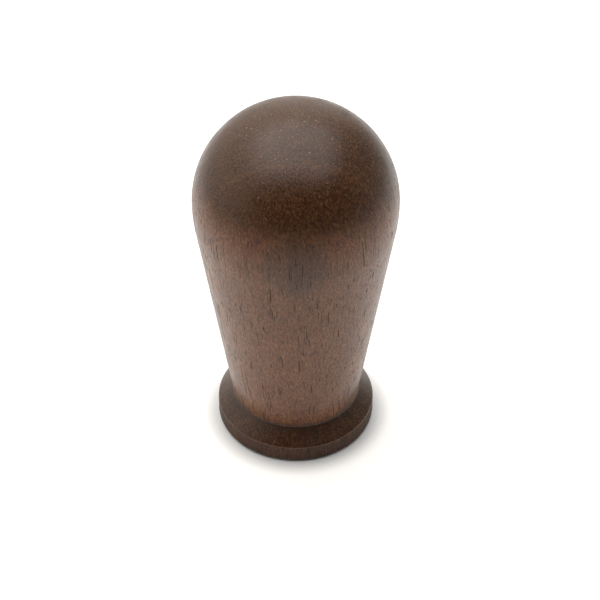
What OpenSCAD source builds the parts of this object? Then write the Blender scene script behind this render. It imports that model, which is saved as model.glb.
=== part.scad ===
// Handle of an espresso tamper: one piece of turned walnut with a brass threaded insert in its foot.
// Millimetres. The handle stands on its foot at z = 0, and its axis is Z.

/* [Handle] */
// Overall height
height = 80; // [66:0.5:98]
// Diameter of the ball-shaped head
head_d = 42.3; // [35:0.1:51]
// Radius of the swelling that carries the head into the taper
swell_r = 37; // [28:0.5:60]
// Diameter of the taper where it meets the foot
neck_d = 27.4; // [22.5:0.1:33]

/* [Foot] */
// Diameter of the foot
foot_d = 34; // [33.5:0.1:41]
// Height of the upright rim
rim_h = 4.35; // [3.6:0.05:5.3]
// Height of the whole foot, up to the crease under the taper
foot_h = 7.4; // [6.1:0.1:9]
// Rounding of the rim's lower edge
foot_edge_r = 1.2; // [0.6:0.1:1.6]
// Rounding of the arris between the rim and the slope above it
arris_r = 0.4; // [0.2:0.1:0.8]
// Fillet in the crease between the slope and the taper
crease_r = 0.5; // [0.2:0.1:1]

/* [Threaded insert] */
// Diameter over the knife thread that bites into the wood
insert_d = 16; // [13:0.1:19.5]
// Length of the insert
insert_l = 18; // [15:0.5:22]
// Height of the knife thread, from its root to its sharp edge
knife_h = 1.25; // [1:0.05:1.5]
// Pitch of the knife thread
knife_pitch = 3; // [2.5:0.1:4]
// Thickness of the knife thread at its sharp edge
knife_edge = 0.25; // [0.2:0.05:0.4]
// Included angle of the knife thread's flanks
knife_angle = 50; // [40:1:60]
// Nominal diameter of the screw that the insert takes
screw_d = 8; // [6:0.1:10]
// Pitch of that screw
screw_pitch = 1.25; // [1:0.05:1.5]
// Width of the driving slot across the insert's mouth
slot_w = 2; // [1.2:0.1:2.5]
// Depth of the driving slot
slot_h = 2.5; // [1.5:0.1:3.5]
// Edge break on the outside of the insert's two ends
insert_edge = 0.4; // [0.2:0.05:0.6]
// Depth of the insert's mouth below the foot's face
inset = 0.5; // [0.2:0.1:1.5]

/* [Bore in the foot] */
// Gap all round between the insert's core and the drilled wall
core_gap = 0.5; // [0.2:0.05:0.7]
// Gap all round between the knife thread and the groove that it cuts
knife_gap = 0.02; // [0.01:0.01:0.05]
// Gap above the insert, where the drill leaves a step
end_gap = 1; // [0.5:0.1:2]
// Gap all round between the screw's tip and the narrow bore above the insert
screw_gap = 0.5; // [0.3:0.1:1]
// Length of the narrow bore above the insert, up to its drill point
screw_room = 10.5; // [8:0.5:16]
// Countersink at the bore's mouth, along the radius
mouth_chamfer = 0.6; // [0.3:0.1:1]

/* [Hidden] */
head_r = head_d / 2;
head_z = height - head_r;            // the head's widest place
foot_r = foot_d / 2;
insert_r = insert_d / 2;
core_r = insert_r - knife_h;         // the knife thread's root
screw_r = screw_d / 2;
thread_bore_r = screw_r - screw_pitch / 2;
insert_top = inset + insert_l;
drill_angle = 118;                   // point angle of a twist drill
over = 1;                            // how far a cut runs past the face that it opens
walnut = [0.30, 0.19, 0.13];
brass = [0.80, 0.63, 0.34];
$fn = 128;

// The taper is a straight line from the crease that touches the swelling's arc
arris = [foot_r, rim_h];
crease = [neck_d / 2, foot_h];
swell_c = [head_r - swell_r, head_z];
taper_run = swell_c - crease;
touch_angle = atan2(taper_run[1], taper_run[0]) - 180 + acos(swell_r / norm(taper_run));
touch = swell_c + swell_r * [cos(touch_angle), sin(touch_angle)];

// The knife thread starts clear of the driving slot and stops short of the insert's top.
// knife_root_w is half its width at its root, inside the core.
knife_steps = 36;                    // flat steps in a turn
knife_root = 0.3;                    // how far inside the core the ridge is rooted
knife_clear = 0.16;                  // metal left beyond the ridge's root at both of its ends
knife_root_w = knife_edge / 2 + (knife_h + knife_root) * tan(knife_angle / 2);
knife_margin = knife_root_w + knife_clear;
knife_z0 = inset + slot_h + knife_margin;
knife_turns = (insert_top - knife_margin - knife_z0) / knife_pitch;
knife_lead_in = ceil(knife_z0 / knife_pitch) + 1;

function unit(v) = v / norm(v);

// What a fillet adds to the corner p between two straight edges, or a rounding takes from it
module corner_sliver(p, towards_a, towards_b, r) {
    a = unit(towards_a - p);
    b = unit(towards_b - p);
    half = acos(a * b) / 2;
    reach = r / tan(half);
    difference() {
        polygon([p, p + a * reach, p + b * reach]);
        translate(p + unit(a + b) * r / sin(half)) circle(r);
    }
}

// Half section of the turned outline, before the crease and the edges are rounded.
// The ball's lower half lies inside the swelling, which touches it at its widest place.
module rough_outline() {
    intersection() {
        translate([0, head_z]) circle(head_r);
        translate([0, head_z - head_r]) square([head_r, head_d]);
    }
    intersection() {
        translate(swell_c) circle(swell_r);
        translate([0, touch[1]]) square([head_r, head_z - touch[1]]);
    }
    polygon([[0, 0], [foot_r, 0], arris, crease, touch, [0, touch[1]]]);
}

module outline() {
    difference() {
        union() {
            rough_outline();
            corner_sliver(crease, arris, touch, crease_r);
        }
        corner_sliver(arris, crease, [foot_r, 0], arris_r);
        corner_sliver([foot_r, 0], arris, [0, 0], foot_edge_r);
    }
}

// One helical ridge, grown by gap all round. As a ridge it fades in and out over a quarter turn.
// With lead_in, in turns, it is the groove that the ridge has cut all the way from the bore's mouth.
module knife_helix(lead_in = 0, gap = 0) {
    first = -lead_in * knife_steps;
    last = floor(knife_turns * knife_steps);
    quarter = knife_steps / 4;
    flank = tan(knife_angle / 2);
    root_r = core_r - knife_root;
    function fade(i) = min(lead_in > 0 ? 1 : i / quarter, (last - i) / quarter, 1);
    function tip_r(i) = core_r + knife_h * fade(i) + gap;
    function half_w(r) = knife_edge / 2 + gap / cos(knife_angle / 2) + max(insert_r - r, 0) * flank;
    function at(i, r, dz) = [
        r * cos(360 * i / knife_steps),
        r * sin(360 * i / knife_steps),
        knife_z0 + knife_pitch * i / knife_steps + dz
    ];
    function section(i) = [
        at(i, root_r, -half_w(root_r)),
        at(i, tip_r(i), -half_w(tip_r(i))),
        at(i, tip_r(i), half_w(tip_r(i))),
        at(i, root_r, half_w(root_r))
    ];
    points = [for (i = [first:last]) each section(i)];
    end = len(points) - 4;
    sides = [
        for (a = [0:4:end - 4], k = [0:3])
            let (p = a + k, q = a + (k + 1) % 4)
                each [[p, q, q + 4], [p, q + 4, p + 4]]
    ];
    polyhedron(points, concat(sides, [[3, 2, 1, 0], [end, end + 1, end + 2, end + 3]]));
}

// Everything that is drilled or cut out of the foot for the insert and the screw
module insert_seat() {
    seat_r = core_r + core_gap;
    seat_top = insert_top + end_gap;
    narrow_r = screw_r + screw_gap;
    narrow_top = seat_top + screw_room;
    mouth_r = seat_r + mouth_chamfer;
    translate([0, 0, -over]) cylinder(h = seat_top + over, r = seat_r);
    translate([0, 0, -over]) cylinder(h = over + mouth_chamfer, r1 = mouth_r + over, r2 = seat_r);
    cylinder(h = narrow_top, r = narrow_r);
    translate([0, 0, narrow_top]) cylinder(h = narrow_r / tan(drill_angle / 2), r1 = narrow_r, r2 = 0);
    knife_helix(lead_in = knife_lead_in, gap = knife_gap);
}

module handle_body() {
    color(walnut)
        difference() {
            rotate_extrude() outline();
            insert_seat();
        }
}

// Half section of the insert's barrel, with both ends of its bore opened out to the screw's size
module barrel_section() {
    flare = screw_r - thread_bore_r;
    polygon([
        [screw_r, 0],
        [core_r - insert_edge, 0],
        [core_r, insert_edge],
        [core_r, insert_l - insert_edge],
        [core_r - insert_edge, insert_l],
        [screw_r, insert_l],
        [thread_bore_r, insert_l - flare],
        [thread_bore_r, flare]
    ]);
}

module threaded_insert() {
    color(brass)
        difference() {
            union() {
                translate([0, 0, inset]) rotate_extrude() barrel_section();
                knife_helix();
            }
            translate([-insert_r, -slot_w / 2, inset - over]) cube([insert_d, slot_w, slot_h + over]);
        }
}

handle_body();
threaded_insert();
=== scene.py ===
"""A turned walnut tamper handle with a brass threaded insert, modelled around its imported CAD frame."""

import math

import bmesh
import bpy
from bpy.props import FloatProperty, FloatVectorProperty, IntProperty, PointerProperty
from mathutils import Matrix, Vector


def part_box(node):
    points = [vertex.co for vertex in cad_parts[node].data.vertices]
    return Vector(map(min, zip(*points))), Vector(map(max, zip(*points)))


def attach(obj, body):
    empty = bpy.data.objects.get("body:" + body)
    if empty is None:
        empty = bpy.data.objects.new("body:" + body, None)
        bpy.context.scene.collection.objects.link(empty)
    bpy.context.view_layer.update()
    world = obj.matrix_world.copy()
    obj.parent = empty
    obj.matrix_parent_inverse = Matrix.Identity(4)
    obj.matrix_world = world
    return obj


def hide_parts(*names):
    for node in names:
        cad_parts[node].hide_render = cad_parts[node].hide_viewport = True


bl_info = {
    "name": "Turned tamper handle",
    "version": (1, 0, 0),
    "blender": (4, 5, 0),
    "location": "View3D > Sidebar > Tamper",
    "description": "Models a walnut tamper handle and the brass insert in its foot",
    "category": "Object",
}

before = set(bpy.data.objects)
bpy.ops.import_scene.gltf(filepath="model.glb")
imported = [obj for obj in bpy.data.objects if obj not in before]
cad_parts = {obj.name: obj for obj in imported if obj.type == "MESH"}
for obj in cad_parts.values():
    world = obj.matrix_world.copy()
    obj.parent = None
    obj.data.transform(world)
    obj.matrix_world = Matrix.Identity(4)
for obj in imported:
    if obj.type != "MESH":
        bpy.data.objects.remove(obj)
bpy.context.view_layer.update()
BODY = "root"
MM = 0.001
THREAD_STEPS = 64  # flat steps in a turn of a thread
SWELL_STEPS = 28  # flat steps in the arc from the taper to the head
DOME_STEPS = 60  # flat steps in the quarter circle over the head
KNIFE_ROOT = 0.3 * MM  # how far the knife thread reaches into the core
KNIFE_CLEAR = 0.16 * MM  # room between the knife thread's ends and the slot or the top
FLARE = 0.15 * MM  # how far the chamfers at the ends of the insert's bore reach past the screw
TAP_OVERLAP = 0.05 * MM  # how far the cutter of the screw thread reaches into the bore
DRILL_POINT = math.radians(59)  # half the angle of a drill's point
FACE_MARGIN = 0.1 * MM  # how near a face lies to the foot or the groove and still belongs to it
HEART = 200.0  # millimetres from the handle's axis back to the heart of the tree
RED_BACK = (210.6, 212.0)  # where the red ring fades in, in millimetres from the heart
RED_SEAM = 211.2  # the pale line along that edge
RED_FRONT = (219.6, 221.4)  # where the red ring fades out, towards the front
PALER = 1.5  # how much paler walnut is where no oil has reached it
_, handle_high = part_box("handle_body")
insert_low, insert_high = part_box("threaded_insert")


def size(name, about, default):
    """A length that a user may change, in metres."""
    return FloatProperty(name=name, description=about, default=default, unit="LENGTH", precision=5)


def colour(name, about, default):
    """A colour that a user may change."""
    return FloatVectorProperty(
        name=name, description=about, default=default, subtype="COLOR", min=0, max=1
    )


def amount(name, about, default, low=0.0, high=100.0):
    """A plain number that a user may change."""
    return FloatProperty(name=name, description=about, default=default, min=low, max=high)


class HandleSizes(bpy.types.PropertyGroup):
    """The turned outline of the handle and the hole that is drilled in its foot"""

    height: size("Height", "Overall height", handle_high.z)
    head: size("Head radius", "Radius of the ball head", handle_high.x)
    swell: size("Swell radius", "Radius of the arc that carries the head into the taper", 37 * MM)
    neck: size("Neck radius", "Radius of the taper where it meets the foot", 13.7 * MM)
    foot: size("Foot radius", "Radius of the foot's rim", 17 * MM)
    rim: size("Rim height", "Height of the upright rim", 4.35 * MM)
    foot_height: size("Foot height", "Height of the crease above the foot's face", 7.4 * MM)
    foot_edge: size("Foot edge", "Rounding of the rim's lower edge", 1.2 * MM)
    arris: size("Arris", "Rounding between the rim and the slope above it", 0.4 * MM)
    crease: size("Crease", "Fillet between the slope and the taper", 0.5 * MM)
    mouth: size("Mouth chamfer", "Countersink at the mouth of the hole", 0.6 * MM)
    core_gap: size("Core gap", "Gap between the insert's core and the wood", 0.5 * MM)
    knife_gap: size("Knife gap", "Gap between the knife thread and its groove", 0.02 * MM)
    end_gap: size("End gap", "Gap between the insert and the step above it", 1 * MM)
    tip_gap: size("Tip gap", "Gap round the screw's tip above the insert", 0.5 * MM)
    tip_room: size("Tip room", "Length of the narrow hole above the insert", 10.5 * MM)
    facets: IntProperty(name="Facets", description="Facets round the axis", default=256, min=64)


class InsertSizes(bpy.types.PropertyGroup):
    """The threaded insert"""

    mouth: size("Mouth", "Height of the insert's mouth above the foot's face", insert_low.z)
    top: size("Top", "Height of the insert's top above the foot's face", insert_high.z)
    outside: size("Outside radius", "Radius over the knife thread", insert_high.x)
    knife_height: size("Knife height", "Height of the knife thread", 1.25 * MM)
    knife_pitch: size("Knife pitch", "Pitch of the knife thread", 3 * MM)
    knife_edge: size("Knife edge", "Thickness of the knife thread's edge", 0.25 * MM)
    knife_angle: FloatProperty(
        name="Knife angle", description="Included angle of the knife thread",
        default=math.radians(50), subtype="ANGLE",
    )
    screw: size("Screw radius", "Nominal radius of the screw", 4 * MM)
    screw_pitch: size("Screw pitch", "Pitch of the screw thread", 1.25 * MM)
    slot_width: size("Slot width", "Width of the driving slot", 2 * MM)
    slot_depth: size("Slot depth", "Depth of the driving slot", 2.5 * MM)
    edge: size("Edge break", "Chamfer on the outside of both ends", 0.4 * MM)
    facets: IntProperty(name="Facets", description="Facets round the axis", default=128, min=32)


class WalnutLook(bpy.types.PropertyGroup):
    """Colours and grain of the walnut"""

    light: colour("Light wood", "Colour of the palest wood", (0.2, 0.08, 0.026))
    dark: colour("Dark wood", "Colour of the darkest wood", (0.13, 0.056, 0.022))
    red: colour("Red wood", "Colour of the reddest ring", (0.165, 0.05, 0.016))
    pore: colour("Pore", "Colour inside an open pore", (0.045, 0.021, 0.012))
    dust: colour("Dust", "Colour of the sanding dust in the end grain", (0.4, 0.28, 0.18))
    across: amount("End grain", "Brightness of the end grain beside the side grain", 0.38, high=1.0)
    crease: amount("Crease", "How far the shade round the foot's crease darkens it", 0.4, high=1.0)
    rim: amount("Rim", "Brightness of the foot's rim beside the rest", 0.4, high=1.0)
    roughness: amount("Roughness", "Roughness of the oiled surface", 0.31, high=1.0)


class BrassLook(bpy.types.PropertyGroup):
    """Colour and finish of the insert"""

    metal: colour("Brass", "Colour of the bare metal", (0.78, 0.57, 0.27))
    roughness: amount("Roughness", "Roughness of the turned metal", 0.28, high=1.0)


class StudioLook(bpy.types.PropertyGroup):
    """Floor, lights and camera"""

    floor: colour("Floor", "Colour of the floor", (0.86, 0.86, 0.86))
    glow: amount("Glow", "Light that the floor gives off round the handle", 0.46)
    warmth: colour("Warmth", "Tint of the light from the walls and the floor", (1.0, 0.96, 0.9))
    overhead: amount("Overhead", "Radiance of the overhead softbox", 2.4)
    wall: amount("Wall", "Radiance of the white wall behind and to the left", 1.12)
    side: amount("Side", "Radiance of the paler wall behind and to the right", 0.28)
    lens: amount("Lens", "Focal length of the camera in millimetres", 121.8, low=10, high=300)
    distance: size("Distance", "Distance from the camera to its target", 430 * MM)
    aim: size("Aim", "Height that the camera is aimed at", 31.7 * MM)
    elevation: FloatProperty(
        name="Elevation", description="Angle of the camera above the horizon",
        default=math.radians(41.7), subtype="ANGLE",
    )
    shift: amount("Shift", "Sideways shift of the lens", 0.007, low=-0.1, high=0.1)


# ---------------------------------------------------------------- modelling by hand


def deselect():
    """Leaves edit mode and selects nothing."""
    if bpy.context.object and bpy.context.object.mode != "OBJECT":
        bpy.ops.object.mode_set(mode="OBJECT")
    bpy.ops.object.select_all(action="DESELECT")


def take(piece):
    """Selects one piece alone and makes it active."""
    deselect()
    piece.select_set(True)
    bpy.context.view_layer.objects.active = piece


def start_outline(name, r, z):
    """A new piece that is one vertex at radius r and height z, in edit mode and selected."""
    deselect()
    bpy.ops.mesh.primitive_plane_add(size=MM, location=(0, 0, 0))
    piece = bpy.context.object
    piece.name = piece.data.name = name
    bpy.ops.object.mode_set(mode="EDIT")
    bpy.ops.mesh.select_all(action="SELECT")
    bpy.ops.mesh.merge(type="CENTER")
    bpy.ops.transform.translate(value=(r, 0, z))
    return piece


def line_by(dr, dz):
    """Extrudes the selected end of the outline by dr outwards and dz upwards."""
    bpy.ops.mesh.extrude_region_move(TRANSFORM_OT_translate={"value": (dr, 0, dz)})


def outline_through(name, points):
    """A new piece that is the straight-sided outline through the (r, z) points."""
    piece = start_outline(name, *points[0])
    for (r0, z0), (r1, z1) in zip(points, points[1:]):
        line_by(r1 - r0, z1 - z0)
    return piece


def arc_by(r, z, angle, steps):
    """Turns the selected end of the outline about (r, z), anticlockwise seen from -Y."""
    bpy.ops.mesh.spin(
        steps=steps, angle=angle, center=(r, 0, z), axis=(0, 1, 0), use_auto_merge=False
    )


def pick(piece, test, kind="verts"):
    """Selects the vertices, edges or faces whose middle passes the test, and nothing else."""
    mesh = bmesh.from_edit_mesh(piece.data)
    for part in (*mesh.verts, *mesh.edges, *mesh.faces):
        part.select = False
    for part in getattr(mesh, kind):
        if kind == "verts":
            middle = part.co
        elif kind == "edges":
            middle = (part.verts[0].co + part.verts[1].co) / 2
        else:
            middle = part.calc_center_median()
        if test(middle):
            part.select_set(True)
    mesh.select_flush_mode()
    bmesh.update_edit_mesh(piece.data)


def select_mode(kind):
    """Chooses whether vertices, edges or faces are picked."""
    bpy.ops.mesh.select_mode(type={"verts": "VERT", "edges": "EDGE", "faces": "FACE"}[kind])


def near(r, z, within=1e-6):
    """A test for a place in the outline's plane."""
    return lambda p: abs(p.x - r) < within and abs(p.z - z) < within


def round_corner(piece, before, corner, after, radius, steps):
    """Rounds one corner of the outline with a tangent arc."""
    a = (Vector(before) - Vector(corner)).normalized()
    b = (Vector(after) - Vector(corner)).normalized()
    reach = radius / math.tan(a.angle(b) / 2)
    select_mode("verts")
    pick(piece, near(*corner))
    bpy.ops.mesh.bevel(
        offset=reach, offset_type="OFFSET", affect="VERTICES", segments=steps, profile=0.5
    )


def cut_edge(piece, a, b, cuts):
    """Divides the straight edge between two places of the outline."""
    middle = (Vector(a) + Vector(b)) / 2
    select_mode("edges")
    pick(piece, near(*middle), "edges")
    bpy.ops.mesh.subdivide(number_cuts=cuts)


def turn_solid(facets):
    """Turns the outline in edit mode round the Z axis into a closed solid, and leaves edit mode."""
    select_mode("verts")
    bpy.ops.mesh.select_all(action="SELECT")
    bpy.ops.mesh.spin(
        steps=facets, angle=math.tau, center=(0, 0, 0), axis=(0, 0, 1), use_auto_merge=True
    )
    bpy.ops.mesh.select_all(action="SELECT")
    bpy.ops.mesh.remove_doubles(threshold=1e-7)
    bpy.ops.mesh.normals_make_consistent(inside=False)
    bpy.ops.object.mode_set(mode="OBJECT")


def wind(piece, pitch, turns, steps):
    """Winds the outline up the Z axis as a right-handed screw with flat ends, and leaves edit mode."""
    bpy.ops.object.mode_set(mode="OBJECT")
    screw = piece.modifiers.new("wind", "SCREW")
    screw.axis = "Z"
    screw.angle = math.tau * turns
    screw.screw_offset = pitch * turns
    screw.iterations = 1
    screw.steps = screw.render_steps = round(steps * turns)
    screw.use_smooth_shade = False
    take(piece)
    bpy.ops.object.modifier_apply(modifier=screw.name)


def close_ends():
    """Merges doubles in the active piece, closes its open ends and points its faces outwards."""
    bpy.ops.object.mode_set(mode="EDIT")
    bpy.ops.mesh.select_all(action="SELECT")
    bpy.ops.mesh.remove_doubles(threshold=1e-7)
    bpy.ops.mesh.select_all(action="SELECT")
    bpy.ops.mesh.fill_holes(sides=0)
    bpy.ops.mesh.select_all(action="SELECT")
    bpy.ops.mesh.normals_make_consistent(inside=False)
    bpy.ops.object.mode_set(mode="OBJECT")


def combine(piece, other, how):
    """Adds another solid to the piece or takes it away, and deletes the other."""
    take(piece)
    cut = piece.modifiers.new(how.lower(), "BOOLEAN")
    cut.operation = how
    cut.solver = "EXACT"
    cut.object = other
    bpy.ops.object.modifier_apply(modifier=cut.name)
    bpy.data.objects.remove(other)


def finish_piece(piece, materials, angle=35):
    """Smooths the piece, gives it its materials and rides it on the handle's one body."""
    take(piece)
    bpy.ops.object.shade_smooth_by_angle(angle=math.radians(angle))
    for material in materials:
        piece.data.materials.append(material)
    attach(piece, BODY)


# ---------------------------------------------------------------- node building


class Board:
    """Adds nodes to one node tree and wires them up, so that a recipe reads as a list of steps."""

    def __init__(self, tree):
        self.tree = tree

    def node(self, kind, **settings):
        """A node of a kind such as ShaderNodeBump, with its settings."""
        made = self.tree.nodes.new(kind)
        for key, value in settings.items():
            setattr(made, key, value)
        return made

    def set(self, node, **inputs):
        """Gives a node's inputs a value or a wire. Spaces in a socket's name are written as _."""
        for key, value in inputs.items():
            self.feed(node.inputs[key.replace("_", " ")], value)
        return node

    def feed(self, socket, value):
        """Wires a socket, or sets it to a plain value."""
        if isinstance(value, bpy.types.NodeSocket):
            self.tree.links.new(value, socket)
        else:
            socket.default_value = value

    def sum(self, how, *values):
        """One arithmetic step, such as MULTIPLY or MAXIMUM."""
        node = self.node("ShaderNodeMath", operation=how)
        for socket, value in zip(node.inputs, values):
            self.feed(socket, value)
        return node.outputs[0]

    def vector(self, how, *values):
        """One arithmetic step on vectors, such as ADD, or LENGTH for a number."""
        node = self.node("ShaderNodeVectorMath", operation=how)
        sockets = (node.inputs[0], node.inputs["Scale"]) if how == "SCALE" else node.inputs
        for socket, value in zip(sockets, values):
            self.feed(socket, value)
        return node.outputs["Value" if how in ("LENGTH", "DOT_PRODUCT", "DISTANCE") else "Vector"]

    def step(self, value, low, high, to_low=0.0, to_high=1.0):
        """Carries a value smoothly from to_low at low to to_high at high."""
        node = self.node("ShaderNodeMapRange", interpolation_type="SMOOTHSTEP", clamp=True)
        for socket, given in zip(node.inputs, (value, low, high, to_low, to_high)):
            self.feed(socket, given)
        return node.outputs[0]

    def noise(self, vector, scale, detail=2.0, roughness=0.5, output="Fac"):
        """Soft noise, read at a vector."""
        node = self.node("ShaderNodeTexNoise", noise_dimensions="3D")
        self.set(node, Vector=vector, Scale=scale, Detail=detail, Roughness=roughness)
        return node.outputs[output]

    def mix(self, factor, a, b):
        """Mixes two colours."""
        node = self.node("ShaderNodeMix", data_type="RGBA")
        self.feed(node.inputs[0], factor)
        self.feed(node.inputs[6], a)
        self.feed(node.inputs[7], b)
        return node.outputs[2]

    def split(self, vector):
        """The X, Y and Z of a vector."""
        return self.set(self.node("ShaderNodeSeparateXYZ"), Vector=vector).outputs

    def join(self, x, y, z):
        """A vector from X, Y and Z."""
        return self.set(self.node("ShaderNodeCombineXYZ"), X=x, Y=y, Z=z).outputs[0]


def rgba(value):
    """A colour with full alpha."""
    return (*value, 1.0)


def new_group(name, inputs, outputs):
    """A node group with the inputs and outputs named, the board to build it on, and both its ends."""
    tree = bpy.data.node_groups.new(name, "ShaderNodeTree")
    for label, kind, default in inputs:
        socket = tree.interface.new_socket(name=label, in_out="INPUT", socket_type=kind)
        if default is not None:
            socket.default_value = default
    for label, kind in outputs:
        tree.interface.new_socket(name=label, in_out="OUTPUT", socket_type=kind)
    board = Board(tree)
    return tree, board, board.node("NodeGroupInput").outputs, board.node("NodeGroupOutput")


def new_material(name):
    """An empty material with its Principled shader wired to the output."""
    material = bpy.data.materials.new(name)
    material.use_nodes = True
    tree = material.node_tree
    tree.nodes.clear()
    board = Board(tree)
    shader = board.node("ShaderNodeBsdfPrincipled")
    output = board.node("ShaderNodeOutputMaterial")
    tree.links.new(shader.outputs[0], output.inputs["Surface"])
    return material, board, shader


def placed_in_mm(board):
    """The place on the piece, in millimetres from its origin."""
    place = board.node("ShaderNodeTexCoord").outputs["Object"]
    return board.vector("MULTIPLY", place, (1000, 1000, 1000))


# ---------------------------------------------------------------- materials


def walnut_grain_group():
    """Growth rings, fibres and open vessels of walnut whose grain runs along Z, in millimetres."""
    vector, value, tint = "NodeSocketVector", "NodeSocketFloat", "NodeSocketColor"
    tree, board, given, result = new_group(
        "Walnut grain",
        [
            ("Place", vector, None),
            ("Across", value, None),
            ("End Grain", value, 0.62),
            ("Light Wood", tint, (0.17, 0.08, 0.045, 1)),
            ("Dark Wood", tint, (0.1, 0.04, 0.02, 1)),
            ("Red Wood", tint, (0.12, 0.04, 0.02, 1)),
            ("Pore Colour", tint, (0.03, 0.014, 0.008, 1)),
            ("Dust Colour", tint, (0.3, 0.2, 0.12, 1)),
        ],
        [("Color", tint), ("Pores", value), ("Height", value)],
    )
    place = given["Place"]
    # The vessels lean a little and wander as they rise, and the rings sway with them.
    slow = board.noise(board.vector("MULTIPLY", place, (0.05, 0.05, 0.09)), 1.0, 1.0, output="Color")
    quick = board.noise(board.vector("MULTIPLY", place, (0.7, 0.7, 0.16)), 1.0, 1.0, output="Color")
    sway = board.vector("MULTIPLY", board.vector("SUBTRACT", slow, (0.5, 0.5, 0.5)), (2.2, 2.2, 0.0))
    shake = board.vector("MULTIPLY", board.vector("SUBTRACT", quick, (0.5, 0.5, 0.5)), (0.45, 0.45, 0.0))
    swayed = board.vector("ADD", place, board.vector("ADD", sway, shake))
    x, y, z = board.split(swayed)
    leaning = board.join(board.sum("MULTIPLY_ADD", z, 0.05, x), board.sum("MULTIPLY_ADD", z, 0.06, y), 0.0)
    # Rings: distance from the heart of the tree, far behind the handle
    heart = board.join(x, board.sum("SUBTRACT", y, HEART), 0.0)
    ring = board.vector("LENGTH", heart)
    bands = board.noise(board.join(board.sum("MULTIPLY", ring, 0.33), 0.0, 0.0), 1.0, 3.0, 0.6)
    # One ring is redder, and its edges are sharp.
    red_out = board.step(ring, RED_FRONT[1], RED_FRONT[0])
    red = board.sum("MULTIPLY", board.step(ring, *RED_BACK), red_out)
    # Fibres: fine streaks along the grain, broad streaks of colour, and the tooth of sanded wood. The
    # tooth leans over in the head.
    fine = board.noise(board.vector("MULTIPLY", swayed, (4.5, 4.5, 0.45)), 1.0, 3.0, 0.6)
    broad = board.noise(board.vector("MULTIPLY", swayed, (0.42, 0.42, 0.025)), 1.0, 2.0, 0.5)
    flat_x, flat_y, up = board.split(place)
    twist = board.sum("MULTIPLY", board.sum("MAXIMUM", board.sum("SUBTRACT", up, 60.0), 0.0), 0.5)
    slanted = board.join(board.sum("ADD", flat_x, twist), flat_y, up)
    tooth = board.noise(board.vector("MULTIPLY", slanted, (3.6, 2.6, 1.2)), 1.0, 2.0, 0.6)
    tone = board.sum(
        "ADD",
        board.sum("ADD", board.sum("MULTIPLY", bands, 1.2), board.sum("MULTIPLY", broad, 0.9)),
        board.sum("MULTIPLY", fine, 0.9),
    )
    wood = board.mix(board.step(tone, 1.05, 1.95), given["Dark Wood"], given["Light Wood"])
    reddened = board.mix(board.step(tone, 1.0, 2.0), given["Red Wood"], given["Light Wood"])
    # Elsewhere, red comes and goes in stripes.
    stripes = board.noise(board.vector("MULTIPLY", swayed, (0.55, 0.55, 0.02)), 1.0, 1.0, 0.5)
    blush = board.step(stripes, 0.42, 0.62, 0.0, 0.45)
    wood = board.mix(board.sum("MAXIMUM", board.sum("MULTIPLY", red, 0.75), blush), wood, reddened)
    # End grain drinks more oil and is darker. The wood in front of the red ring, towards the front of the
    # handle, is darker too, and the ring's back edge is paler.
    drunk = board.step(given["Across"], 0.12, 0.45, 1.0, given["End Grain"])
    outer = board.step(ring, RED_FRONT[0], RED_FRONT[0] + 1.0, 1.0, 0.62)
    seam = board.sum("ABSOLUTE", board.sum("SUBTRACT", ring, RED_SEAM))
    outer = board.sum("ADD", outer, board.step(seam, 0.1, 0.8, 0.22, 0.0))
    # Dark streaks run along the grain, and the tooth deepens or thins the colour.
    dark = board.noise(board.vector("MULTIPLY", swayed, (2.3, 2.3, 0.1)), 1.0, 2.0, 0.5)
    streaks = board.step(dark, 0.52, 0.7, 1.0, 0.6)
    grit = board.sum("MULTIPLY", streaks, board.step(tooth, 0.25, 0.75, 0.85, 1.15))
    wood = board.vector("SCALE", wood, board.sum("MULTIPLY", board.sum("MULTIPLY", drunk, outer), grit))
    depth = board.step(tooth, 0.25, 0.75, 1.2, 0.84)
    wood = board.set(board.node("ShaderNodeGamma"), Color=wood, Gamma=depth).outputs[0]
    pores = None
    # Three sizes of vessel: cells in a millimetre, the widest in cells, a shift that keeps the three
    # apart, the share of cells that hold one, and how dark it is
    vessels = ((0.9, 0.17, 0.0, 0.7, 1.0), (1.5, 0.18, 7.3, 0.6, 0.95), (2.6, 0.22, 3.1, 0.5, 0.75))
    for cells, widest, shift, share, darkness in vessels:
        across = board.vector("ADD", leaning, (shift, shift, 0.0))
        cell = board.node("ShaderNodeTexVoronoi", voronoi_dimensions="2D", feature="F1")
        board.set(cell, Vector=across, Scale=cells, Randomness=1.0)
        r, g, _ = board.split(cell.outputs["Color"])
        there = board.sum("MULTIPLY", board.sum("LESS_THAN", g, share), darkness)
        radius = board.step(r, 0.0, 1.0, widest * 0.4, widest)
        edge = board.sum("MULTIPLY", radius, 0.6)
        mask = board.step(cell.outputs["Distance"], edge, radius, 1.0, 0.0)
        mask = board.sum("MULTIPLY", mask, there)
        pores = mask if pores is None else board.sum("MAXIMUM", pores, mask)
    # Where the grain is cut across, vessels close up, and some hold pale sanding dust.
    cut = board.step(given["Across"], 0.25, 0.6)
    dusty = board.step(board.noise(place, 1.3, 0.0), 0.5, 0.6)
    dusty = board.sum("MULTIPLY", dusty, board.step(given["Across"], 0.68, 0.92))
    inside = board.mix(cut, given["Pore Colour"], given["Light Wood"])
    inside = board.mix(dusty, inside, given["Dust Colour"])
    pores = board.sum("MULTIPLY", pores, board.sum("MAXIMUM", dusty, board.step(cut, 0.0, 1.0, 1.0, 0.6)))
    board.feed(result.inputs["Color"], board.mix(board.sum("MULTIPLY", pores, 0.7), wood, inside))
    board.feed(result.inputs["Pores"], pores)
    rough = board.sum("ADD", board.sum("MULTIPLY", fine, 0.5), board.sum("MULTIPLY", tooth, 0.9))
    board.feed(result.inputs["Height"], board.sum("SUBTRACT", rough, pores))
    return tree


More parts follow.
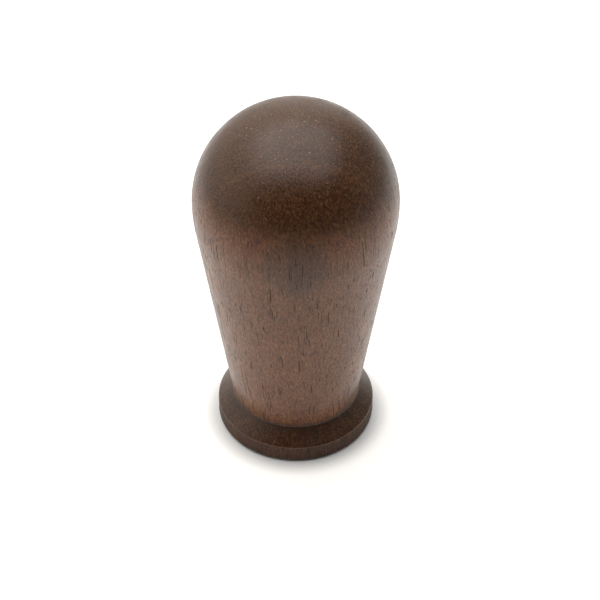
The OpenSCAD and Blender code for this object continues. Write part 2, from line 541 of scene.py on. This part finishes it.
def across_grain(board):
    """How squarely the surface lies across the grain, from 0 along it to 1."""
    facing = board.split(board.node("ShaderNodeTexCoord").outputs["Normal"])
    return board.sum("ABSOLUTE", facing[2])


def lay_grain(board, look, grain, place, paler=1.0):
    """The grain group, placed in a material with the walnut's colours."""
    wood = board.node("ShaderNodeGroup", node_tree=grain)
    board.set(
        wood,
        Place=place,
        Across=across_grain(board),
        End_Grain=look.across,
        Light_Wood=rgba([channel * paler for channel in look.light]),
        Dark_Wood=rgba([channel * paler for channel in look.dark]),
        Red_Wood=rgba([channel * paler for channel in look.red]),
        Pore_Colour=rgba(look.pore),
        Dust_Colour=rgba(look.dust),
    )
    return wood


def oiled_walnut(look, grain, crease, rim):
    """The outside of the handle: walnut with a satin oil finish, with painted shade in the foot's crease
    and on its rim.
    """
    material, board, shader = new_material("oiled_walnut")
    place = placed_in_mm(board)
    wood = lay_grain(board, look, grain, place)
    pores = wood.outputs["Pores"]
    # Painted shade darkens the crease between the foot and the taper: a dark line in the corner and a
    # wider, fainter shade round it.
    x, y, z = board.split(place)
    radius = board.vector("LENGTH", board.join(x, y, 0.0))
    away = board.vector("DISTANCE", board.join(radius, z, 0.0), (crease[0] / MM, crease[1] / MM, 0.0))
    line, shade = board.step(away, 0.2, 0.75, 0.9, 0.0), board.step(away, 0.3, 2.4, look.crease, 0.0)
    painted_shade_and_tarnish = board.sum("MAXIMUM", line, shade)
    # Dark streaks run down the foot's slope and its rim.
    around = board.vector("SCALE", board.vector("NORMALIZE", board.join(x, y, 0.0)), 38.0)
    drips = board.step(board.noise(around, 1.0, 2.0), 0.47, 0.68, 1.0, 0.55)
    above = board.step(z, crease[1] / MM - 0.3, crease[1] / MM + 0.2)
    drips = board.sum("MAXIMUM", drips, above)
    bump = board.node("ShaderNodeBump")
    board.set(bump, Strength=0.65, Distance=0.08 * MM, Height=wood.outputs["Height"])
    # The rim is painted darker than the rest, a painted shade for the dim floor close round the foot, and
    # it is duller.
    rim_below, rim_above = rim / MM - 0.5, rim / MM + 0.3
    # Painted shade: the rim's colour is scaled down below the arris.
    painted_rim_shade = board.step(z, rim_below, rim_above, look.rim, 1.0)
    # Painted shade in the crease mixes the colour towards the pore colour. The rim's painted shade and the
    # foot's dark streaks then scale the colour down.
    colour = board.mix(painted_shade_and_tarnish, wood.outputs["Color"], rgba(look.pore))
    colour = board.vector("SCALE", colour, board.sum("MULTIPLY", painted_rim_shade, drips))
    patchy = board.step(board.noise(place, 0.35), 0.35, 0.65, look.roughness - 0.02, look.roughness + 0.04)
    worn = board.sum("MAXIMUM", patchy, board.step(z, rim_below, rim_above, 0.7, 0.0))
    board.set(
        shader,
        Base_Color=colour,
        Roughness=board.sum("MAXIMUM", worn, board.sum("MULTIPLY", pores, 0.75)),
        Normal=bump.outputs[0],
        IOR=1.45,
    )
    return material


def bare_walnut(look, grain):
    """The drilled hole: walnut cut dry and left without oil."""
    material, board, shader = new_material("bare_walnut")
    place = placed_in_mm(board)
    wood = lay_grain(board, look, grain, place, PALER)
    tear = board.noise(board.vector("MULTIPLY", place, (3.0, 3.0, 9.0)), 1.0, 4.0, 0.7)
    bump = board.node("ShaderNodeBump")
    board.set(
        bump, Strength=0.7, Distance=0.15 * MM,
        Height=board.sum("ADD", wood.outputs["Height"], tear),
    )
    board.set(shader, Base_Color=wood.outputs["Color"], Roughness=0.85, Normal=bump.outputs[0])
    return material


def turned_brass(look):
    """Brass as it leaves the lathe, dulled and tarnished in random patches."""
    material, board, shader = new_material("turned_brass")
    place = placed_in_mm(board)
    x, y, z = board.split(place)
    radius = board.vector("LENGTH", board.join(x, y, 0.0))
    along = board.join(board.sum("MULTIPLY", radius, 9.0), board.sum("MULTIPLY", z, 9.0), 0.0)
    marks = board.noise(along, 1.0, 2.0, 0.6)
    painted_shade_and_tarnish = board.noise(place, 0.5, 4.0, 0.6)
    dull = board.step(painted_shade_and_tarnish, 0.45, 0.75)
    tarnish = [look.metal[0] * 0.55, look.metal[1] * 0.45, look.metal[2] * 0.4]
    bump = board.node("ShaderNodeBump")
    board.set(bump, Strength=0.35, Distance=0.03 * MM, Height=marks)
    board.set(
        shader,
        Base_Color=board.mix(board.sum("MULTIPLY", dull, 0.6), rgba(look.metal), rgba(tarnish)),
        Metallic=1.0,
        Roughness=board.step(dull, 0.0, 1.0, look.roughness, look.roughness + 0.22),
        Normal=bump.outputs[0],
    )
    return material


# ---------------------------------------------------------------- pieces


def knife_half_width(insert, radius, grown=0):
    """Half the knife thread's width at a radius inside its edge."""
    edge = insert.knife_edge / 2 + grown / math.cos(insert.knife_angle / 2)
    return edge + (insert.outside - radius) * math.tan(insert.knife_angle / 2)


def knife_root(insert):
    """The radius that the knife thread is rooted at, a little inside the core."""
    return insert.outside - insert.knife_height - KNIFE_ROOT


def knife_path(insert):
    """First height and number of turns of the knife thread, clear of the slot and of the top."""
    margin = knife_half_width(insert, knife_root(insert)) + KNIFE_CLEAR
    start = insert.mouth + insert.slot_depth + margin
    return start, (insert.top - margin - start) / insert.knife_pitch


def knife_section(insert, name, grown, start):
    """The outline of the knife thread's ridge at the X axis, grown all round by a gap."""
    root, tip = knife_root(insert), insert.outside + grown
    half = knife_half_width(insert, root, grown)
    edge = knife_half_width(insert, insert.outside, grown)
    outline = [(root, start - half), (tip, start - edge), (tip, start + edge), (root, start + half)]
    return outline_through(name, [*outline, outline[0]])


class TAMPER_OT_turn_handle(bpy.types.Operator):
    """Turns the walnut handle on the lathe, drills its foot and cuts the groove for the insert"""

    bl_idname = "tamper.turn_handle"
    bl_label = "Turn the handle"

    def execute(self, context):
        sizes = context.scene.tamper_handle
        insert = context.scene.tamper_insert
        head_z = sizes.height - sizes.head
        # The taper runs straight from the crease to where it touches the swelling's arc.
        crease = Vector((sizes.neck, sizes.foot_height))
        swell = Vector((sizes.head - sizes.swell, head_z))
        run = swell - crease
        turn = math.atan2(run.y, run.x) - math.pi + math.acos(sizes.swell / run.length)
        touch = swell + sizes.swell * Vector((math.cos(turn), math.sin(turn)))
        core = insert.outside - insert.knife_height
        seat = core + sizes.core_gap
        seat_top = insert.top + sizes.end_gap
        narrow = insert.screw + sizes.tip_gap
        narrow_top = seat_top + sizes.tip_room
        point = narrow / math.tan(DRILL_POINT)
        rim_low, arris = (sizes.foot, 0), (sizes.foot, sizes.rim)
        outline = [
            (0, narrow_top + point),
            (narrow, narrow_top),
            (narrow, seat_top),
            (seat, seat_top),
            (seat, sizes.mouth),
            (seat + sizes.mouth, 0),
            rim_low,
            arris,
            tuple(crease),
            tuple(touch),
        ]
        piece = outline_through("walnut_handle", outline)
        arc_by(swell.x, swell.y, -turn, SWELL_STEPS)
        arc_by(0, head_z, math.pi / 2, DOME_STEPS)
        for below, above, cuts in (
            (crease, touch, 15),
            (rim_low, arris, 3),
            (arris, crease, 5),
            ((seat + sizes.mouth, 0), rim_low, 5),
            ((seat, sizes.mouth), (seat, seat_top), 11),
        ):
            cut_edge(piece, below, above, cuts)
        round_corner(piece, (0, 0), rim_low, arris, sizes.foot_edge, 8)
        round_corner(piece, rim_low, arris, crease, sizes.arris, 5)
        round_corner(piece, arris, crease, touch, sizes.crease, 6)
        turn_solid(sizes.facets)
        start, turns = knife_path(insert)
        lead_in = math.ceil(start / insert.knife_pitch) + 1
        low = start - lead_in * insert.knife_pitch
        groove = knife_section(insert, "groove", sizes.knife_gap, low)
        wind(groove, insert.knife_pitch, lead_in + turns, THREAD_STEPS)
        close_ends()
        combine(piece, groove, "DIFFERENCE")
        grain = walnut_grain_group()
        look = context.scene.tamper_walnut
        outside = oiled_walnut(look, grain, crease, sizes.rim)
        finish_piece(piece, (outside, bare_walnut(look, grain)))
        # Faces inside the drilled hole and the groove take the second material.
        for face in piece.data.polygons:
            away = math.hypot(face.center.x, face.center.y)
            in_groove = away < insert.outside + FACE_MARGIN and FACE_MARGIN < face.center.z < seat_top
            in_hole = away < seat + 0.3 * sizes.mouth and face.center.z < narrow_top + point
            face.material_index = 1 if in_groove or in_hole else 0
        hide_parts("handle_body")
        return {"FINISHED"}


class TAMPER_OT_cut_insert(bpy.types.Operator):
    """Turns the brass insert and cuts its outer thread, its M8 thread and its driving slot"""

    bl_idname = "tamper.cut_insert"
    bl_label = "Cut the insert"

    def execute(self, context):
        insert = context.scene.tamper_insert
        core = insert.outside - insert.knife_height
        bore = insert.screw - insert.screw_pitch / 2
        mouth, top, edge = insert.mouth, insert.top, insert.edge
        flare = insert.screw + FLARE
        rise = flare - bore
        outline = [
            (bore, mouth + rise),
            (flare, mouth),
            (core - edge, mouth),
            (core, mouth + edge),
            (core, top - edge),
            (core - edge, top),
            (flare, top),
            (bore, top - rise),
        ]
        piece = outline_through("brass_insert", [*outline, outline[0]])
        turn_solid(insert.facets)
        start, turns = knife_path(insert)
        knife = knife_section(insert, "knife", 0, start)
        wind(knife, insert.knife_pitch, turns, THREAD_STEPS)
        close_ends()
        self.run_out(knife, insert, core, start, turns)
        combine(piece, knife, "UNION")
        combine(piece, self.tap(insert, bore), "DIFFERENCE")
        combine(piece, self.slot(insert), "DIFFERENCE")
        finish_piece(piece, (turned_brass(context.scene.tamper_brass),), angle=30)
        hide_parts("threaded_insert")
        return {"FINISHED"}

    def run_out(self, knife, insert, core, start, turns):
        """Sinks both ends of the knife thread into the core over a quarter turn."""
        for vertex in knife.data.vertices:
            radius = math.hypot(vertex.co.x, vertex.co.y)
            if radius < core:
                continue
            gone = (vertex.co.z - start) / insert.knife_pitch
            fade = min(1, max(0, gone / 0.25), max(0, (turns - gone) / 0.25))
            wanted = core + (radius - core) * fade
            vertex.co.x *= wanted / radius
            vertex.co.y *= wanted / radius

    def tap(self, insert, bore):
        """A solid with the shape that the screw thread leaves open, longer than the insert."""
        pitch = insert.screw_pitch
        inside, outside = bore - TAP_OVERLAP, insert.screw
        spare = math.ceil((insert.top - insert.mouth) / pitch) + 3
        z = insert.mouth - 1.5 * pitch
        # The standard profile, with flats of an eighth of the pitch outside and a quarter inside
        outline = [
            (inside, z),
            (inside, z + pitch / 8),
            (outside, z + pitch * 7 / 16),
            (outside, z + pitch * 9 / 16),
            (inside, z + pitch * 7 / 8),
            (inside, z + pitch),
        ]
        piece = outline_through("tap", outline)
        wind(piece, pitch, spare, THREAD_STEPS)
        bpy.ops.object.mode_set(mode="EDIT")
        bpy.ops.mesh.select_all(action="SELECT")
        bpy.ops.mesh.remove_doubles(threshold=1e-7)
        for height, side in ((insert.mouth - 0.4 * pitch, -1), (insert.top + 0.4 * pitch, 1)):
            bpy.ops.mesh.select_all(action="SELECT")
            bpy.ops.mesh.bisect(
                plane_co=(0, 0, height), plane_no=(0, 0, side), use_fill=True, clear_outer=True
            )
        bpy.ops.object.mode_set(mode="OBJECT")
        close_ends()
        return piece

    def slot(self, insert):
        """The driving slot's cutter, with a rounded floor and a small chamfer at the mouth."""
        deselect()
        bpy.ops.mesh.primitive_cube_add(size=1, location=(0, 0, 0))
        piece = bpy.context.object
        piece.name = piece.data.name = "slot"
        bpy.ops.object.mode_set(mode="EDIT")
        bpy.ops.transform.resize(value=(insert.outside * 2.2, insert.slot_width, insert.slot_depth))
        bpy.ops.transform.translate(value=(0, 0, insert.mouth + insert.slot_depth / 2))
        top = insert.mouth + insert.slot_depth
        corner, chamfer = 0.25 * MM, 0.15 * MM
        select_mode("edges")
        pick(piece, lambda p: abs(p.z - top) < 1e-6 and abs(p.x) < 1e-6, "edges")
        bpy.ops.mesh.bevel(offset=corner, segments=4, affect="EDGES")
        bpy.ops.mesh.select_all(action="SELECT")
        bpy.ops.mesh.bisect(plane_co=(0, 0, insert.mouth + chamfer), plane_no=(0, 0, 1))
        select_mode("faces")
        pick(piece, lambda p: abs(p.z - insert.mouth) < 1e-6, "faces")
        bpy.ops.transform.resize(value=(1, 1 + 2 * chamfer / insert.slot_width, 1))
        bpy.ops.mesh.extrude_region_move(TRANSFORM_OT_translate={"value": (0, 0, -1 * MM)})
        bpy.ops.object.mode_set(mode="OBJECT")
        close_ends()
        return piece


# ---------------------------------------------------------------- stage


class TAMPER_OT_set_stage(bpy.types.Operator):
    """Lays the pale floor, hangs the soft lights and places the camera"""

    bl_idname = "tamper.set_stage"
    bl_label = "Set the stage"

    def execute(self, context):
        look = context.scene.tamper_studio
        self.lay_floor(look)
        self.fill_room(look)
        self.hang_light(
            "overhead", look.overhead, width=0.56, depth=0.496, place=(-0.01, 0.068, 0.42)
        )
        self.place_camera(context, look)
        context.scene.view_settings.view_transform = "Standard"
        context.scene.view_settings.look = "None"
        return {"FINISHED"}

    def lay_floor(self, look):
        """A pale floor that glows softly round the handle and behind it, with a painted contact shadow
        where it glows less beside the foot.
        """
        deselect()
        bpy.ops.mesh.primitive_plane_add(size=6.0, location=(0, 0, 0))
        floor = bpy.context.object
        floor.name = floor.data.name = "floor"
        material, board, shader = new_material("pale_floor")
        place = placed_in_mm(board)
        glow = board.step(board.vector("DISTANCE", place, (0, 115, 0)), 130, 280, look.glow, 0.0)
        # Painted contact shadow: the glow is dimmed in a ring just round the foot.
        beside = board.step(board.vector("LENGTH", place), 17, 22, 0.05, 1.0)
        board.set(
            shader,
            Base_Color=rgba(look.floor),
            Roughness=0.9,
            Emission_Color=board.vector("SCALE", look.warmth, board.sum("MULTIPLY", glow, beside)),
            Emission_Strength=1.0,
        )
        floor.data.materials.append(material)

    def fill_room(self, look):
        """The room's light: white walls behind the handle, and darkness behind the camera."""
        world = bpy.data.worlds.new("studio")
        bpy.context.scene.world = world
        world.use_nodes = True
        world.node_tree.nodes.clear()
        board = Board(world.node_tree)
        towards = board.node("ShaderNodeTexCoord").outputs["Generated"]
        wall = board.vector("DOT_PRODUCT", towards, (-0.733, 0.681, 0))
        side = board.vector("DOT_PRODUCT", towards, (0.806, 0.592, 0))
        level = board.sum(
            "ADD", board.step(wall, -0.05, 0.62, 0, look.wall), board.step(side, 0.2, 0.75, 0, look.side)
        )
        # The camera itself sees a plain pale room.
        seen = board.node("ShaderNodeLightPath").outputs["Is Camera Ray"]
        level = board.sum("MAXIMUM", level, board.sum("MULTIPLY", seen, 0.95))
        back = board.node("ShaderNodeBackground")
        board.set(back, Color=rgba(look.warmth), Strength=level)
        board.set(board.node("ShaderNodeOutputWorld"), Surface=back.outputs[0])

    def hang_light(self, name, radiance, width, depth, place):
        """A rectangular softbox that faces straight down."""
        light = bpy.data.lights.new(name, "AREA")
        light.shape = "RECTANGLE"
        light.size, light.size_y = width, depth
        light.energy = radiance * math.pi * width * depth
        holder = bpy.data.objects.new(name, light)
        bpy.context.scene.collection.objects.link(holder)
        holder.location = place

    def place_camera(self, context, look):
        """The camera, looking down at the front of the handle."""
        camera = bpy.data.cameras.new("camera")
        camera.lens = look.lens
        camera.sensor_width = 36
        camera.shift_x = look.shift
        camera.clip_start, camera.clip_end = 0.01, 20
        holder = bpy.data.objects.new("camera", camera)
        context.scene.collection.objects.link(holder)
        back = Vector((0, -math.cos(look.elevation), math.sin(look.elevation)))
        holder.location = Vector((0, 0, look.aim)) + back * look.distance
        holder.rotation_mode = "QUATERNION"
        holder.rotation_quaternion = back.to_track_quat("Z", "Y")
        context.scene.camera = holder


# ---------------------------------------------------------------- add-on


class TAMPER_PT_panel(bpy.types.Panel):
    """Buttons that build the handle's pieces and the stage"""

    bl_label = "Tamper handle"
    bl_space_type = "VIEW_3D"
    bl_region_type = "UI"
    bl_category = "Tamper"

    def draw(self, context):
        for step in STEPS:
            self.layout.operator(step.bl_idname)


STEPS = (TAMPER_OT_turn_handle, TAMPER_OT_cut_insert, TAMPER_OT_set_stage)
GROUPS = {
    "tamper_handle": HandleSizes,
    "tamper_insert": InsertSizes,
    "tamper_walnut": WalnutLook,
    "tamper_brass": BrassLook,
    "tamper_studio": StudioLook,
}


def register():
    """Registers the settings, the operators and the panel."""
    for cls in (*GROUPS.values(), *STEPS, TAMPER_PT_panel):
        bpy.utils.register_class(cls)
    for name, group in GROUPS.items():
        setattr(bpy.types.Scene, name, PointerProperty(type=group))


def unregister():
    """Takes the panel, the operators and the settings away again."""
    for name in GROUPS:
        delattr(bpy.types.Scene, name)
    for cls in reversed((*GROUPS.values(), *STEPS, TAMPER_PT_panel)):
        bpy.utils.unregister_class(cls)


def main():
    """Builds the pieces and the stage."""
    register()
    bpy.ops.tamper.turn_handle()
    bpy.ops.tamper.cut_insert()
    bpy.ops.tamper.set_stage()


if __name__ == "__main__":
    main()
